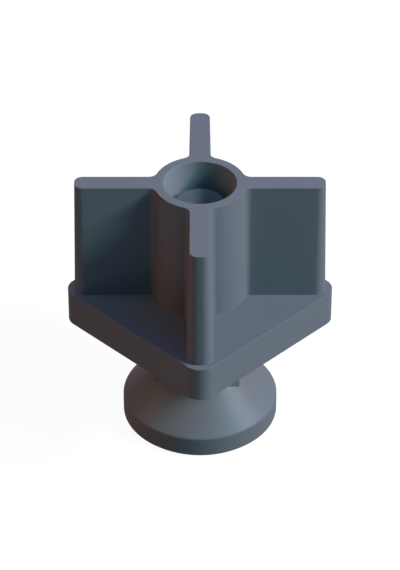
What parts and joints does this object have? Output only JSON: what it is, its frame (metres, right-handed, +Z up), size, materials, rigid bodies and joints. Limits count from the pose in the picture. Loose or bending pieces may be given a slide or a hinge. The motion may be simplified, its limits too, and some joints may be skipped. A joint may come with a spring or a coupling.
{
  "type": "adjustable cabinet leg",
  "caption": "Finned plug with a square flange for a tube's end, and a screw-in levelling foot with a hexagonal collar.",
  "frame": {"origin": "on the floor, under the middle of the foot, on the screw's axis", "axes": "+Z up along the screw; X and Y square to the flange's sides, so the fins lie on the diagonals"},
  "size_m": [0.04, 0.04, 0.0578],
  "materials": {
    "insert_plastic": "moulded, fine satin",
    "bush_steel": "turned, zinc plated",
    "screw_steel": "phosphated and oiled",
    "foot_plastic": "moulded, fine satin"
  },
  "bodies": {
    "insert": {"tube_insert": "insert_plastic"},
    "bush": {"threaded_bush": "bush_steel"},
    "screw_and_foot": {"levelling_screw": "screw_steel", "foot": "foot_plastic"}
  },
  "joints": [
    {"name": "foot_turn", "type": "hinge", "parent": "insert", "child": "bush", "pos_m": [0, 0, 0.0242], "axis": [0, 0, -1], "range_deg": [-1680, 3600]},
    {"name": "height_adjust", "type": "slide", "parent": "bush", "child": "screw_and_foot", "axis": [0, 0, -1], "range_m": [-0.007, 0.015]}
  ],
  "couplings": [
    {"joint": "foot_turn", "follows": "height_adjust", "rad_per_m": 4188.8}
  ]
}
